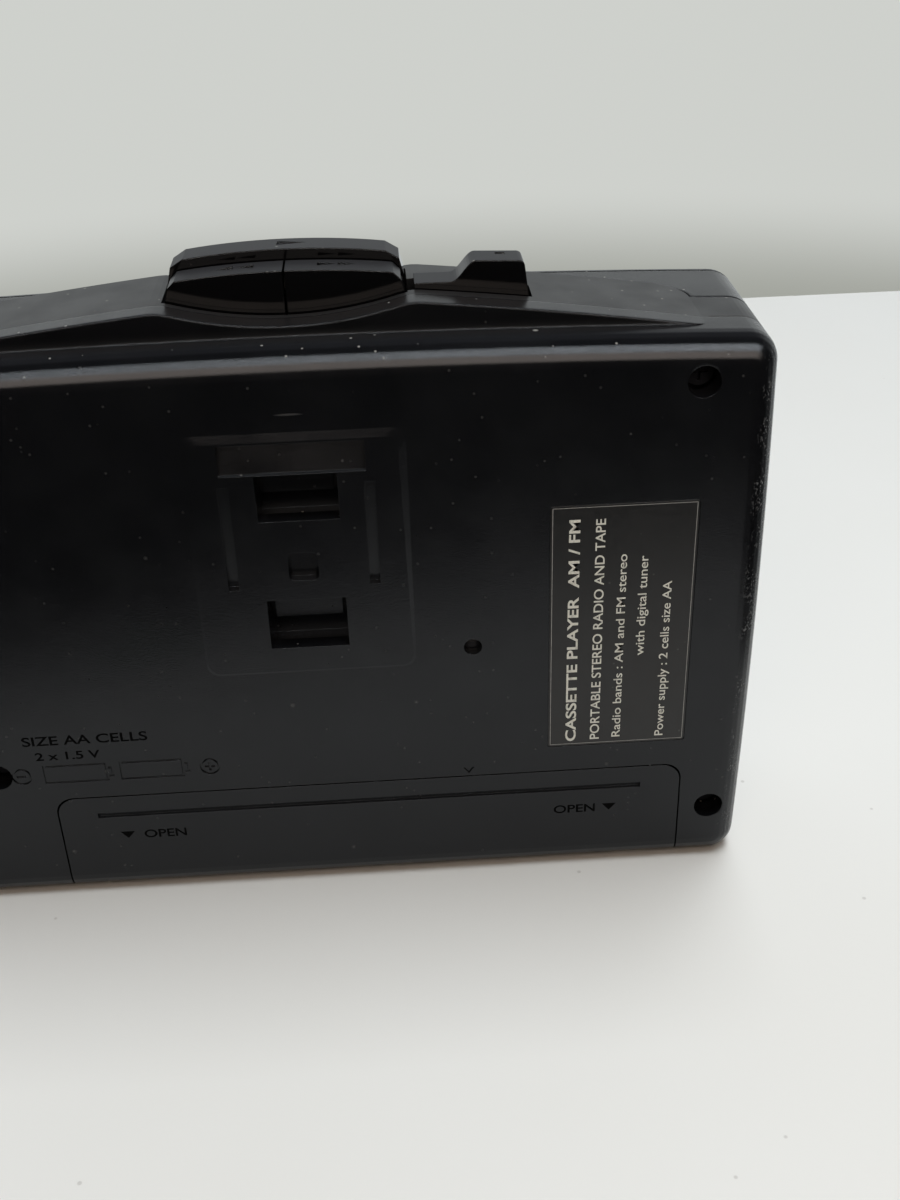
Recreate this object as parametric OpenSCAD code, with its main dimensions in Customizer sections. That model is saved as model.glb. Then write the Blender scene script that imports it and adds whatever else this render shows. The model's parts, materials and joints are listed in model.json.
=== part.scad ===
// Personal radio cassette player, millimetres, standing on its long bottom edge.
// +X is the tuner end, -Y is the cassette door side, +Y is the rear. Depths are counted from the rear face.

/* [Case] */
// Width of the case at mid height
case_w = 139; // [138:0.5:141]
// Height of the case at its middle
case_h = 94.5; // [94.2:0.1:95]
// Thickness of the case, rear face to front face
case_t = 32.6; // [32.6:0.1:33.4]
// Radius of the slight crown of the top and the ends
crown_r = 1650; // [1200:50:3000]
// Radius of the four corners seen from the rear
corner_r = 4.5; // [3.5:0.1:5]
// Rounding of the rear edge
rear_fillet = 4; // [3:0.1:4.5]
// Rounding of the front edge
front_fillet = 2; // [1:0.1:2.2]
// Wall thickness of the shells
wall = 1.8; // [1.6:0.1:2]
// Depth of the seam between rear shell and mid frame
seam_rear = 8.9; // [8.7:0.1:9]
// Depth of the seam between mid frame and door
seam_door = 17.6; // [17.5:0.1:17.7]
// Depth of the seam between door body and front plate
seam_plate = 30; // [29.8:0.1:30.2]

/* [Key pod] */
// Half width of the raised pod
pod_half = 59; // [58:0.5:60]
// Depth where the pod starts
pod_near = 5.5; // [5:0.1:6]
// Depth where the pod ends
pod_far = 22.5; // [22:0.1:22.8]
// Distance of each ridge peak from the middle
peak_x = 17.5; // [17:0.1:18]
// Height of the ridge peaks
peak_z = 98.8; // [98:0.1:99.2]
// Height of the bowl's lowest point
bowl_z = 96.1; // [95.8:0.1:96.5]
// Radius of the pod's two corners towards the door
far_corner = 5; // [4:0.5:6]

/* [Keys] */
// Height of the rewind and fast-forward keys
wind_top = 102.3; // [102:0.1:102.5]
// Height of the play key
play_top = 103.9; // [103.6:0.1:104.2]
// Height of the stop key's block
stop_top = 102.4; // [102:0.1:102.6]
// Height of the stop key's low shelf
stop_low = 99.5; // [99.3:0.1:99.7]

/* [Battery door] */
// Left edge of the battery door, seen from the rear
bat_x1 = 43.5; // [43:0.5:44]
// Right edge of the battery door, seen from the rear
bat_x0 = -58.5; // [-59:0.5:-58]
// Height of its top seam
bat_z = 20.2; // [20:0.1:20.4]

/* [Cassette drive] */
// Middle of the cassette across the case
tape_x = -11.5; // [-11.6:0.1:-11.4]
// Height of the cassette's lower edge
tape_z = 7; // [6.9:0.1:7.1]
// Distance between the two reels
reel_gap = 42.5; // [42.5]
// Teeth of the pinion on the capstan
pinion_teeth = 16; // [16]
// Teeth of the idler
idler_teeth = 32; // [32]
// Teeth of the take-up gear
takeup_teeth = 44; // [44]
// Tooth module of the gear train
gear_module = 0.5; // [0.5]
// Radius of the flywheel
flywheel_r = 15; // [14:0.1:15]
// Radius of the motor pulley
pulley_r = 2.5; // [2.2:0.1:2.8]

/* [Mechanism colours] */
// Colour of the shells
shell_colour = "#1b1d21"; // ["#1b1d21", "#26282c"]
// Colour of the mid frame
frame_colour = "#26282c"; // ["#26282c", "#1b1d21"]
// Colour of bare steel parts
steel_colour = "silver"; // ["silver", "lightgray"]

/* [Hidden] */
$fn = 48;
eps = 0.01;
run_fit = 0.05;                  // radial gap of a shaft in its bore
key_half = 16.9;                 // half width of the play, rewind and fast-forward keys
key_split = 0.15;                // half the gap between rewind and fast-forward
key_base = 91.8;                 // underside of the keys
door_x1 = 46.3;                  // tuner-side edge of the cassette door
panel_x0 = 46.6;                 // door-side edge of the control housing
door_wall = 1.6;
door_d0 = seam_door + 0.25;      // rear edge of the door body
hinge_z = 3;                     // door hinge axis
hinge_d = door_d0 + hinge_z;
knuckle_x = [-67.1, 40.9];       // left faces of the door hinge knuckles
knuckle_w = 3.3;
tray_x0 = -59.9;                 // ends of the battery tray
tray_x1 = 45.9;
pod_seat_z = 91.9;               // underside of the pod panel over the door, and of the pads on the ears

// Cassette frame, kept from the standard cassette
reel_z = tape_z + 29;
tape_edge_z = tape_z + 63.8;
takeup_x = tape_x - reel_gap / 2;
supply_x = tape_x + reel_gap / 2;
capstan_x = tape_x - 23.6;
capstan_z = tape_edge_z - 8;
capstan_r = 1;

// Mechanism planes
chassis_d = [12.8, 13.6];
gear_d = [14, 15.6];
head_d = [15.95, 16.75];
motor_x = 58.1;
motor_z = 58;
motor_r = 9.3;
wheel_x = 61.1;
wheel_z = 36;
wheel_r = 8;
jack_z = 77.5;
jack_d = 13.2;
switch_z = 16;
board_posts = [[50.6, 7], [65, 7], [50.6, 86.6], [65, 86.6]];   // carry the tuner board
chassis_screw_at = [[-64.2, 23.7], [-64.2, 75.5], [64.2, 71.4]];
spring_at = [[0, 18.15], [8.2, 12.95], [-8.2, 12.95], [-26, 13.3]];   // play, rewind, forward, stop
ear_x = [-42.8, 19.3];           // ears of the key frame
ear_w = 6.1;
arm_x = -52;
arm_z = 76;
arm_rest = 2.5;                  // angle of the pinch arm at rest
arm_len = 18.14;
roller_r = 5.5;
head_slots = [-27, 7];
stud_z = 77.1;

// Screw wells of the rear shell
wells = [[-58, 87.1], [58, 87.1], [-63.6, 11.1], [51.8, 25.3]];
well_r = 2.4;
boss_r = 3.6;
screw_r = 1;

// Belt-clip seat
seat_top = 82.6;
seat_bottom = 42.4;
seat_border = 1.3;               // width of its sloping border
seat_rise = 0.3;                 // height of its top above the rear face

// Gear train geometry
function pitch_r(n) = gear_module * n / 2;
axis_gap = norm([takeup_x - capstan_x, reel_z - capstan_z]);
leg_a = pitch_r(pinion_teeth) + pitch_r(idler_teeth);
leg_b = pitch_r(idler_teeth) + pitch_r(takeup_teeth);
along = (leg_a * leg_a - leg_b * leg_b + axis_gap * axis_gap) / (2 * axis_gap);
across = sqrt(leg_a * leg_a - along * along);
axis_u = [takeup_x - capstan_x, reel_z - capstan_z] / axis_gap;
idler_pos = [capstan_x, capstan_z] + along * axis_u + across * [axis_u[1], -axis_u[0]];
angle_ci = atan2(idler_pos[1] - capstan_z, idler_pos[0] - capstan_x);
angle_iu = atan2(reel_z - idler_pos[1], takeup_x - idler_pos[0]);
function mesh_phase(phase, teeth, angle, other) =
    angle + 180 - ((phase - angle) * teeth / 360 + 0.5) * 360 / other;
idler_phase = mesh_phase(0, pinion_teeth, angle_ci, idler_teeth);
takeup_phase = mesh_phase(idler_phase, idler_teeth, angle_iu, takeup_teeth);

// ---------- placing helpers: x across, d depth from the rear face, z up ----------
function yd(d) = case_t / 2 - d;

// A flat outline in X and Z, extruded from depth d0 to d1
module slab(d0, d1) {
    translate([0, yd(d0), 0]) rotate([90, 0, 0]) linear_extrude(d1 - d0) children();
}

// An outline in Y and Z, extruded from x0 to x1
module xprism(x0, x1) {
    translate([x0, 0, 0]) rotate([90, 0, 90]) linear_extrude(x1 - x0) children();
}

module block(x0, x1, d0, d1, z0, z1) {
    translate([x0, yd(d1), z0]) cube([x1 - x0, d1 - d0, z1 - z0]);
}

module yrod(x, z, d0, d1, r) {
    translate([x, yd(d0), z]) rotate([90, 0, 0]) cylinder(h = d1 - d0, r = r);
}

module xrod(x0, x1, d, z, r) {
    translate([x0, yd(d), z]) rotate([0, 90, 0]) cylinder(h = x1 - x0, r = r);
}

module zrod(x, d, z0, z1, r) {
    translate([x, yd(d), z0]) cylinder(h = z1 - z0, r = r);
}

// Rectangle with rounded corners
module rrect(x0, x1, z0, z1, r) {
    translate([x0 + r, z0]) square([x1 - x0 - 2 * r, z1 - z0]);
    translate([x0, z0 + r]) square([x1 - x0, z1 - z0 - 2 * r]);
    for (x = [x0 + r, x1 - r], z = [z0 + r, z1 - r]) translate([x, z]) circle(r);
}

// Slot of the half width r between two points of equal x
module slot(x, z0, z1, r) {
    translate([x - r, z0]) square([2 * r, z1 - z0]);
    for (z = [z0, z1]) translate([x, z]) circle(r);
}

// ---------- case outline ----------
function top_z(x, inset) = case_h - inset - x * x / (2 * crown_r);
function side_x(z, inset) = case_w / 2 - inset - pow(z - case_h / 2, 2) / (2 * crown_r);

// Right half of the outline, from the bottom middle round to the top middle
function half_outline(inset) =
    let (r = max(corner_r - inset, 0.6), top_c = top_z(case_w / 2 - inset - r, inset) - r,
         top_x = side_x(top_c, inset) - r, bottom_x = side_x(inset + r, inset) - r)
    concat(
        [for (a = [-90:10:0]) [bottom_x + r * cos(a), inset + r + r * sin(a)]],
        [for (k = [1:9]) let (z = inset + r + (top_c - inset - r) * k / 10) [side_x(z, inset), z]],
        [for (a = [0:10:90]) [top_x + r * cos(a), top_c + r * sin(a)]],
        [for (k = [9:-1:1]) let (x = top_x * k / 10) [x, top_z(x, inset)]]
    );

module case_slice(inset) {
    half = half_outline(inset);
    count = len(half);
    polygon(concat(half, [[0, top_z(0, inset)]], [for (k = [count - 1:-1:0]) [-half[k][0], half[k][1]]]));
}

// Solid case from depth 0 to d1 with a rounded rear edge
module rear_solid(d1) {
    hull() {
        for (a = [0:15:90]) {
            d = rear_fillet * (1 - cos(a));
            slab(d, d + eps) case_slice(rear_fillet * (1 - sin(a)));
        }
        slab(rear_fillet, d1) case_slice(0);
    }
}

// Shadow line round a seam, away from the foot and from the pod over x < clear
module seam_groove(d, clear) {
    slab(d, d + 0.25) difference() {
        case_slice(-1);
        case_slice(0.35);
        translate([-80, -1]) square([160, 6]);
        translate([-clear, 80]) square([2 * clear, 20]);
    }
}

// Solid front plate with a rounded front edge
module front_solid() {
    difference() {
        hull() {
            slab(seam_plate, case_t - front_fillet) case_slice(0);
            for (a = [0:15:90]) {
                d = case_t - front_fillet * (1 - cos(a));
                slab(d - eps, d) case_slice(front_fillet * (1 - sin(a)));
            }
        }
        seam_groove(seam_plate - eps, 0.1);
    }
}

// ---------- key pod ----------
bowl_r = (peak_x * peak_x + pow(peak_z - bowl_z, 2)) / (2 * (peak_z - bowl_z));
function ridge_raw(x) =
    let (a = abs(x), t = (pod_half - a) / (pod_half - peak_x))
    a < peak_x ? bowl_z + bowl_r - sqrt(bowl_r * bowl_r - a * a)
               : top_z(pod_half, 0) + (peak_z - top_z(pod_half, 0)) * (t + 0.24 * t * (1 - t));
// The peaks are eased by averaging over a short span
function ridge_z(x) = (ridge_raw(x - 1) + ridge_raw(x) + ridge_raw(x + 1)) / 3;

// Outline under the ridge line, lowered by drop, for x between -half and half
module ridge_outline(half, drop, bottom, steps) {
    polygon(concat(
        [for (k = [0:steps]) let (x = -half + 2 * half * k / steps) [x, min(ridge_z(x), 99) - drop]],
        [[half, bottom], [-half, bottom]]
    ));
}

module pod_clip() {
    near_corner = 1.5;
    translate([0, 0, 80]) linear_extrude(30) {
        rrect(-pod_half, pod_half, yd(pod_far), yd(pod_near + 4), far_corner);
        rrect(-pod_half, pod_half, yd(pod_far - far_corner - 1), yd(pod_near), near_corner);
    }
}

module pod_solid(d0, d1, bottom) {
    intersection() {
        slab(d0, d1) ridge_outline(pod_half, 0, bottom, 118);
        pod_clip();
    }
}

module key_opening() {
    block(-17.2, 17.3, 10.1, 20.9, 80, 110);
    block(-34.9, -17.1, 10.8, 16, 80, 110);
}

// ---------- case shells ----------
module battery_opening(gap) {
    slab(-1, seam_rear + 1) {
        rrect(bat_x0 - gap, bat_x1 + gap, -10, bat_z + gap, 3);
    }
}

// Outline of the belt-clip seat, drawn in from its edge by inset
module seat_outline(inset) {
    rrect(-15.9 + inset, 16.3 - inset, seat_bottom + inset, seat_top - inset, 2);
}

// Raised seat for the belt clip: nearly flush at its foot, thickest at its top
module seat_pad() {
    intersection() {
        hull() {
            slab(0, 1) seat_outline(0);
            slab(-seat_rise, 0) seat_outline(seat_border);
        }
        xprism(-20, 20) polygon([[yd(1), seat_bottom - 1], [yd(-0.06), seat_bottom - 1],
                                 [yd(-seat_rise), seat_top - seat_border], [yd(-seat_rise), seat_top + 1],
                                 [yd(1), seat_top + 1]]);
    }
}

module belt_clip_pockets() {
    // Wedge pocket near the top, deepest at its upper edge
    xprism(-10, 11) polygon([[yd(-1), 81], [yd(1.6), 81], [yd(0.5), 76.2], [yd(-1), 76.2]]);
    // Guide slots beside the hook slots, deepening downwards
    for (x = [-11.1, 9.9]) {
        xprism(x, x + 1.6) polygon([[yd(-1), 74.5], [yd(0), 74.5], [yd(1.1), 57.5], [yd(-1), 57.5]]);
    }
    slab(-1, 1.3) rrect(-2.1, 2.4, 58.7, 63.4, 1);
}

// Hook slots: each opens downwards behind the wall, below a tongue that hangs from its top
module hook_slot(z0, z1) {
    x0 = -5.8;
    x1 = 6.1;
    difference() {
        block(x0, x1, -1, 7.4, z0, z1);
        block(x0 + 0.8, x1 - 0.8, 4.6, 8, z0 + (z1 - z0) * 0.34, z1 + 1);
    }
    block(x0, x1, 2.5, 7.4, z0 - 1.6, z0 + 0.5);
}

// Moulded battery diagram, cut into the rear face
module battery_diagram() {
    line = 0.4;
    slab(-1, 0.25) {
        for (x = [34.2, 22.1]) {
            difference() {
                translate([x, 23.5]) square([10.2, 3.6]);
                translate([x + line, 23.5 + line]) square([10.2 - 2 * line, 3.6 - 2 * line]);
            }
            difference() {
                translate([x - 0.9, 24.3]) square([0.9, 2]);
                translate([x - 0.9 + line, 24.3 + line]) square([0.9, 2 - 2 * line]);
            }
        }
        for (x = [47.9, 18]) {
            difference() {
                translate([x, 25.2]) circle(1.6);
                translate([x, 25.2]) circle(1.25);
            }
            translate([x - 0.8, 25.2 - line / 2]) square([1.6, line]);
        }
        translate([18 - line / 2, 25.2 - 0.8]) square([line, 1.6]);
        // Seam pointer over the battery door
        translate([-23.6, 19.1]) polygon([[-0.9, 2.9], [0.9, 2.9], [0, 1.7]]);
    }
}

module rear_shell() {
    color(shell_colour)
    difference() {
        union() {
            difference() {
                union() {
                    rear_solid(seam_rear);
                    pod_solid(pod_near, seam_rear, 92);
                    seat_pad();
                }
                slab(wall, seam_rear + 1) case_slice(wall);
                slab(pod_near + wall, seam_rear + 1) ridge_outline(40, 1.8, 90, 80);
            }
            // Thick pad behind the belt-clip seat and the two hook pockets
            block(-17.7, 18.1, wall - eps, 4, 41, 84.4);
            block(-7.6, 7.9, 3.5, 8.4, 64.8, 77.6);
            block(-7.6, 7.9, 3.5, 8.4, 43.4, 57);
            for (w = wells) yrod(w[0], w[1], 1, seam_rear, boss_r);
            // Rib that stops the top of the battery door
            block(bat_x0 - 2, bat_x1 + 2, wall - eps, 2.9, bat_z - 0.4, bat_z + 1.6);
        }
        belt_clip_pockets();
        hook_slot(68.7, 76.1);
        hook_slot(46.9, 55.4);
        for (w = wells) {
            yrod(w[0], w[1], -1, 5.5, well_r);
            yrod(w[0], w[1], 5, seam_rear + 1, screw_r + 0.15);
        }
        yrod(-24.7, 45.2, -1, 3, 1.4);
        slab(-1, 0.15) rrect(-58.7, -36.4, 25.1, 68.8, 0.5);
        battery_diagram();
        battery_opening(0.12);
        // Tracks for the battery door's runners
        for (x = [bat_x0 - 1.8, bat_x1 - 0.2]) block(x, x + 2, wall, 4.2, -1, wall + 0.2);
    }
}

module mid_frame() {
    color(frame_colour)
    difference() {
        union() {
            difference() {
                slab(seam_rear, seam_door) case_slice(0);
                slab(seam_rear - 1, seam_door + 1) case_slice(wall);
            }
            difference() {
                pod_solid(seam_rear, pod_far, pod_seat_z);
                slab(seam_rear - 1, 21) ridge_outline(40, 1.8, 90, 80);
            }
            for (w = wells) yrod(w[0], w[1], seam_rear, 16.4, boss_r - 0.3);
            // Ledges that carry the chassis
            block(-68.4, -61, 9.4, chassis_d[0], 20.5, 27);
            block(-68.4, -61, 9.4, chassis_d[0], 72, 79);
            block(61, 68.4, 9.4, chassis_d[0], 69.4, 73.4);
            // Webs that tie the screw posts to the ring
            block(-61.5, -54.5, 10, 14, 89, 93);
            block(54.5, 61.5, 10, 14, 89, 93);
            block(-68.6, -65, 10, 14, 9, 13.2);
            block(50.2, 53.4, 9.6, 16.4, 1, 23);
            // Door hinge knuckles
            for (x = knuckle_x) {
                xrod(x, x + knuckle_w, hinge_d, hinge_z, hinge_z - 0.2);
                block(x, x + knuckle_w, 16.2, hinge_d, 0.7, hinge_z + 1.8);
            }
            // Pads over the ears of the key frame
            for (x = ear_x) block(x, x + ear_w, 10, 16, pod_seat_z, 93.5);
        }
        key_opening();
        for (w = wells) yrod(w[0], w[1], seam_rear - 1, 15, screw_r);
        for (x = knuckle_x) xrod(x - 0.1, x + knuckle_w + 0.1, hinge_d, hinge_z, screw_r);
        // Chassis screw holes
        for (p = chassis_screw_at) yrod(p[0], p[1], 10, 14, 0.8);
        // Finger scoop and window for the volume wheel
        slab(seam_rear - 1, 13.4) translate([case_w / 2 + 10, wheel_z]) circle(12);
        block(66, 68.6, seam_rear - 1, 13.2, wheel_z - 6.4, wheel_z + 6.4);
        // Headphone socket and function switch
        xrod(66, 71, jack_d, jack_z, 3.1);
        block(66, 71, 11.4, 14.6, switch_z - 5, switch_z + 5);
        seam_groove(seam_rear - eps, pod_half + 1);
        seam_groove(seam_door - 0.25 + eps, pod_half + 1);
        // The ring is four lengths with hairline joints in its two ends
        for (z = [6.5, 88], x = [-80, 64]) block(x, x + 16, seam_rear - 1, seam_door + 1, z, z + 0.02);
    }
}

module battery_door() {
    gap = 0.12;
    color(shell_colour)
    difference() {
        union() {
            intersection() {
                difference() {
                    rear_solid(seam_rear - 0.1);
                    slab(wall, seam_rear + 1) case_slice(wall);
                }
                slab(-1, seam_rear + 1) rrect(bat_x0 + gap, bat_x1 - gap, -10, bat_z - gap, 3);
            }
            // Runners behind the edges of the shell
            for (x = [bat_x0 - 1.2, bat_x1 - 1.6]) block(x, x + 2.8, wall + 0.25, 3.3, 14, 16.8);
            // Webs that join the runners to the door
            for (x = [bat_x0 + 0.4, bat_x1 - 1.6]) block(x, x + 1.2, 1, 3.3, 14, 16.8);
        }
        // Long thumb groove
        slab(-1, 0.6) translate([-51.9, 15.9]) square([89.1, 1]);
    }
}

module spec_label() {
    color("#0d0e10") slab(0.03, 0.14) rrect(-58.6, -36.5, 25.2, 68.7, 0.45);
}

module cross_head_screw(x, z, d, length, head_r, r, head_t) {
    difference() {
        union() {
            yrod(x, z, d, d + head_t, head_r);
            yrod(x, z, d + head_t - eps, d + length, r);
        }
        block(x - head_r * 0.6, x + head_r * 0.6, d - 1, d + 0.7, z - 0.2, z + 0.2);
        block(x - 0.2, x + 0.2, d - 1, d + 0.7, z - head_r * 0.6, z + head_r * 0.6);
    }
}

module case_screws() {
    color("#33353a") for (w = wells) cross_head_screw(w[0], w[1], 4.05, 10.4, 2.1, screw_r, 1.45);
}

// ---------- deck keys ----------
// Arched key cap seen from the rear, with flared feet
module arched_cap(x0, x1, top, sag, half, foot, base) {
    round_r = 0.9;
    polygon(concat(
        [[x1, base], [x1, foot]],
        [for (k = [0:16])
            let (x = x1 + (x0 - x1) * k / 16, u = abs(x) / half, v = max(0, (u - 0.92) / 0.08),
                 drop = round_r * (1 - sqrt(max(0, 1 - v * v))))
            [x * (u > 0.9 ? 0.965 : 1 - 0.035 * u * u), top - sag * u * u - drop]],
        [[x0, foot], [x0, base]]
    ));
}

// Solid arrow head pointing to -X or +X in plan, for cutting into a key's top
module arrow_mark(x, d, length, width, dir, z) {
    translate([x, yd(d), z]) linear_extrude(5)
        polygon([[0, -width / 2], [0, width / 2], [dir * length, 0]]);
}

// Rewind key on the +X side, fast-forward key on the -X side
module wind_key(side, index) {
    lo = side > 0 ? key_split : -key_half;
    hi = side > 0 ? key_half : -key_split;
    difference() {
        union() {
            slab(10.6, 15.3) arched_cap(lo, hi, wind_top, 1, key_half, 98.4, key_base);
            block(lo, hi, 9.6, 12, key_base - 0.9, key_base + 0.4);
        }
        for (k = [0, 1]) {
            arrow_mark(side > 0 ? 4.3 + 2.9 * k : -4.7 - 2.9 * k, 13.4, 2.6, 1.5, side, wind_top - 0.55);
        }
        spring_seat(index);
    }
}

// Blind hole in a key's underside that holds the top of its spring
module spring_seat(index) {
    zrod(spring_at[index][0], spring_at[index][1], 89, 94.2, 2.15);
}

module rewind_key() {
    color("#101114") wind_key(1, 1);
}

module forward_key() {
    color("#101114") wind_key(-1, 2);
}

module play_key() {
    color("#101114")
    difference() {
        union() {
            slab(15.7, 20.6) arched_cap(-key_half, key_half, play_top, 1.2, key_half, 99.4, key_base - 0.4);
            block(-key_half, key_half, 18.6, 21.3, key_base - 1.1, pod_seat_z - 0.1);
        }
        arrow_mark(1.1, 18.4, 4.2, 1.9, -1, play_top - 0.3);
        spring_seat(0);
    }
}

module stop_key() {
    low = -18.2;
    ramp0 = -23.4;
    ramp1 = -27;
    far = -34.5;
    color("#101114")
    difference() {
        union() {
            slab(11.1, 15.7) polygon(concat(
                [[low, key_base], [low, stop_low]],
                [for (k = [0:12]) let (t = k / 12, s = t * t * (3 - 2 * t))
                    [ramp0 + (ramp1 - ramp0) * t, stop_low + (stop_top - stop_low) * s]],
                [for (a = [0:15:90]) [far + 1.5 - 0.9 * sin(a), stop_top - 1.15 + 0.9 * cos(a)]],
                [[far, 96.6], [far, key_base]]
            ));
            block(far, low, 10.3, 12.6, key_base - 0.9, key_base + 0.3);
        }
        block(-31.3, -29.9, 13.9, 14.9, stop_top - 0.35, 110);
        spring_seat(3);
    }
}

// A coil spring along Z, swept as one closed tube
module coil(r, wire, z0, z1, turns, r_top) {
    sides = 8;
    per = 12;
    n = turns * per;
    pts = [for (k = [0:n])
        let (a = 360 * k / per, t = k / n, rr = r + (r_top - r) * t, z = z0 + (z1 - z0) * t)
        for (s = [0:sides - 1]) let (b = 360 * s / sides, q = rr + wire * cos(b))
            [q * cos(a), q * sin(a), z + wire * sin(b)]];
    faces = concat(
        [[for (s = [0:sides - 1]) s]],
        [for (k = [0:n - 1], s = [0:sides - 1]) let (u = (s + 1) % sides)
            [k * sides + s, (k + 1) * sides + s, (k + 1) * sides + u, k * sides + u]],
        [[for (s = [sides - 1:-1:0]) n * sides + s]]
    );
    polyhedron(pts, faces, convexity = 10);
}

module key_spring(index) {
    p = spring_at[index];
    color(steel_colour) translate([p[0], yd(p[1]), 0]) coil(1.65, 0.2, 86.3, 93.9, 6, 1.65);
}

module key_frame() {
    color("#3a3c40") {
        block(-36.8, 19.4, 9, 21, 84.8, 86);
        block(-36.8, 19.4, 9, 9.4, 84.8, 91);
        for (x = [-36.8, 18.6]) block(x, x + 0.8, 9, 16.5, 84.8, pod_seat_z);
        for (p = spring_at) zrod(p[0], p[1], 85.5, 88.4, 1.2);
        // Ears under the pads of the mid frame
        for (x = ear_x) block(x, x + ear_w, 10, 16, pod_seat_z - 1.5, pod_seat_z);
    }
}

// ---------- cassette door ----------
module door_rounding() {
    difference() {
        block(-80, 80, seam_door - 1, hinge_d, -1, hinge_z);
        xrod(-80, 80, hinge_d, hinge_z, hinge_z);
    }
}

module pod_notch() {
    gap = 0.3;
    translate([0, 0, pod_seat_z - gap]) linear_extrude(8) {
        rrect(-pod_half - gap, pod_half + gap, yd(pod_far + gap), yd(seam_door - 8), far_corner + gap);
    }
}

module door_side(x0, x1) {
    block(x0, x1, -5, 60, -5, 110);
}

module door_body() {
    color(shell_colour)
    difference() {
        union() {
            intersection() {
                difference() {
                    slab(door_d0, seam_plate) case_slice(0);
                    slab(door_d0 - 1, 28.8) case_slice(door_wall);
                    slab(28, 31) rrect(tape_x - 38, tape_x + 38, 16, 66, 3);
                }
                door_side(-80, door_x1);
            }
            intersection() {
                slab(door_d0, seam_plate) case_slice(0.5);
                block(door_x1 - door_wall, door_x1, door_d0, seam_plate, 0, 110);
            }
            // Latch hook behind the top wall
            block(tape_x - 12, tape_x - 2, 23.6, 25.2, 86, 93);
        }
        pod_notch();
        door_rounding();
        // Room for the hinge knuckles and holes for the pins
        for (x = knuckle_x) {
            xrod(x - 0.3, x + knuckle_w + 0.3, hinge_d, hinge_z, hinge_z + 0.3);
            block(x - 0.3, x + knuckle_w + 0.3, seam_door - 1, hinge_d, -1, hinge_z + 2.2);
        }
        xrod(-68.7, -60, hinge_d, hinge_z, screw_r + run_fit);
        xrod(40, door_x1 + 1, hinge_d, hinge_z, screw_r + run_fit);
    }
}

module window_opening(grow) {
    rrect(tape_x - 34 - grow, tape_x + 34 + grow, 19 - grow, 62 + grow, 4 + grow);
}

module door_plate() {
    color(shell_colour)
    difference() {
        intersection() {
            front_solid();
            door_side(-80, door_x1);
        }
        slab(seam_plate - 1, case_t + 1) window_opening(0);
        slab(seam_plate - 1, 31.4) window_opening(1.5);
        // Shallow grip lines under the window and a thumb dish at the top
        for (z = [9:2.2:14]) block(tape_x - 34, tape_x + 34, case_t - 0.5, case_t + 1, z, z + 0.8);
        block(tape_x - 34, tape_x + 34, case_t - 0.6, case_t + 1, 70, 71);
        slab(case_t - 0.6, case_t + 1) rrect(tape_x - 9, tape_x + 9, 84, 90, 2);
    }
}

module door_window() {
    color([0.2, 0.22, 0.25, 0.5])
    difference() {
        union() {
            slab(30.05, 31.35) window_opening(1.3);
            slab(31.3, case_t - 0.3) window_opening(-0.15);
        }
        slab(30, 31) window_opening(-2);
    }
}

module cassette_guides() {
    color("#2c2e33")
    for (side = [-1, 1]) {
        inner = tape_x + side * 50.6;
        outer = tape_x + side * 52;
        tip = tape_x + side * 48.8;
        block(min(inner, outer), max(inner, outer), 18, 28.8, 9, 66);
        block(min(tip, outer), max(tip, outer), 18, 18.45, 9, 56);
        block(min(tip, outer), max(tip, outer), 27.6, 28.8, 9, 56);
        block(min(tip, outer), max(tip, outer), 18, 28.8, 5.6, 6.7);
        block(min(inner, outer), max(inner, outer), 18, 28.8, 5.6, 9.1);
    }
}

module cassette_springs() {
    color(steel_colour)
    for (x = [tape_x - 30, tape_x + 24]) {
        xprism(x, x + 6) polygon([[yd(28.8), 8], [yd(28.5), 8], [yd(27.5), 11], [yd(28.5), 14.6],
                                  [yd(28.8), 14.6], [yd(27.85), 11]]);
    }
}

module door_hinge_pins() {
    color(steel_colour) {
        xrod(-68.6, -64, hinge_d, hinge_z, screw_r);
        xrod(41.1, 46, hinge_d, hinge_z, screw_r);
    }
}

// ---------- tuner end ----------
module control_housing() {
    color(shell_colour)
    difference() {
        union() {
            intersection() {
                difference() {
                    slab(seam_door + 0.02, seam_plate) case_slice(0);
                    slab(seam_door - 1, seam_plate + 1) case_slice(door_wall);
                }
                door_side(panel_x0, 80);
            }
            intersection() {
                slab(seam_door + 0.02, seam_plate) case_slice(0.5);
                block(panel_x0, panel_x0 + door_wall, seam_door, seam_plate, 0, 110);
            }
            // Posts for the tuner board
            for (p = board_posts) yrod(p[0], p[1], 25.3, seam_plate, 1.5);
            block(47, 50.6, 25.6, seam_plate, 6, 8);
            block(47, 50.6, 25.6, seam_plate, 85.6, 87.6);
            block(65, 68.3, 25.6, seam_plate, 6, 8);
            block(65, 68.3, 25.6, seam_plate, 85.6, 87.6);
        }
        pod_notch();
    }
}

tuner_key_z = [13.5, 24, 34.5, 45];   // power, band, tune down, tune up
key_x0 = 51.3;
key_x1 = 64.9;
key_h = 6.4;
display = [50.2, 66, 58.5, 85.5];

module key_outline(z, grow) {
    rrect(key_x0 - grow, key_x1 + grow, z - key_h / 2 - grow, z + key_h / 2 + grow, 1.6 + grow);
}

module display_outline(grow, r) {
    rrect(display[0] - grow, display[1] + grow, display[2] - grow, display[3] + grow, r);
}

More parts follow.
